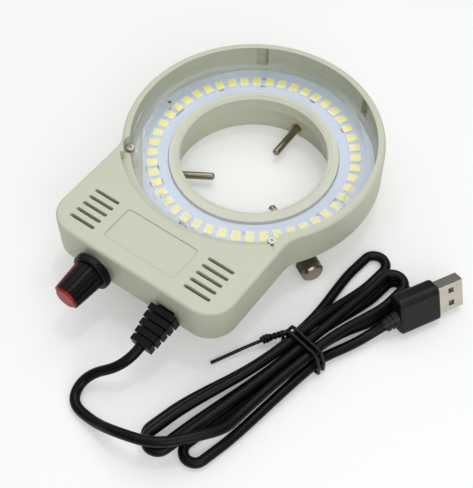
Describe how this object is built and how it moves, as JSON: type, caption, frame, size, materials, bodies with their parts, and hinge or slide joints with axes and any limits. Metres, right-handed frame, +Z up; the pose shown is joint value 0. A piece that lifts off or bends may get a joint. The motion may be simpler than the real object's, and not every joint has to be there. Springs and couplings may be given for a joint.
{
  "type": "microscope ring light",
  "caption": "Ring light with a stepped control block, dimmer knob, clamp collar with thumbscrews and a tied USB cord.",
  "frame": {"origin": "on the axis of the bore, at the bottom face of the clamp collar, which stands on the table", "axes": "+Z up, the way the lamps face as pictured; -Y towards the control block with the knob; +X towards the cord's side"},
  "size_m": [0.1463, 0.1721, 0.0305],
  "materials": {
    "ivory_plastic": "moulded warm grey-ivory, satin",
    "black_plastic": "moulded black, satin",
    "white_plastic": "moulded white, satin",
    "red_plastic": "moulded dark red",
    "clear_plastic": "clear polished plastic",
    "lamp_board": "white solder mask with a blue cast",
    "lamp_white": "white lamp body",
    "lamp_yellow": "yellow phosphor",
    "board_green": "green solder mask",
    "dimmer_green": "moulded dimmer body",
    "nickel": "nickel plated",
    "brass": "bright",
    "black_rubber": "black, satin"
  },
  "bodies": {
    "light": {"housing": "ivory_plastic", "base_plate": "ivory_plastic", "clamp_collar": "ivory_plastic", "thumbscrew_inserts": "brass", "led_board": "lamp_board", "led_frames": "lamp_white", "led_phosphors": "lamp_yellow", "clear_cover": "clear_plastic", "cover_screws": "nickel", "base_screws": "nickel", "collar_screws": "nickel", "board_screws": "nickel", "dimmer_body": "dimmer_green", "dimmer_bushing": "nickel", "dimmer_washer": "nickel", "dimmer_nut": "nickel", "driver_board": "board_green", "driver_parts": "black_plastic", "lamp_wires": "black_rubber", "dimmer_wires": "black_rubber", "supply_wires": "black_rubber", "strain_relief": "black_rubber", "cord_lead": "black_rubber", "cord_hank": "black_rubber", "cord_tail": "black_rubber", "plug_relief": "black_rubber", "plug_body": "black_rubber", "usb_shell": "nickel", "usb_tongue": "white_plastic", "usb_contacts": "brass", "twist_tie": "black_plastic"},
    "knob": {"dimmer_shaft": "nickel", "knob_body": "black_plastic", "knob_cap": "red_plastic"},
    "screw_back": {"thumbscrew_back": "nickel"},
    "screw_left": {"thumbscrew_left": "nickel"},
    "screw_right": {"thumbscrew_right": "nickel"}
  },
  "joints": [
    {"name": "knob_turn", "type": "hinge", "parent": "light", "child": "knob", "pos_m": [-0.0142, -0.0755, 0.0204], "axis": [0, -1, 0], "range_deg": [-215, 85]},
    {"name": "screw_back_travel", "type": "slide", "parent": "light", "child": "screw_back", "axis": [-0.0349, 0.9994, 0], "range_m": [-0.0062, 0.0058]},
    {"name": "screw_left_travel", "type": "slide", "parent": "light", "child": "screw_left", "axis": [-0.848, -0.5299, 0], "range_m": [-0.0062, 0.0058]},
    {"name": "screw_right_travel", "type": "slide", "parent": "light", "child": "screw_right", "axis": [0.8829, -0.4695, 0], "range_m": [-0.0062, 0.0058]}
  ]
}
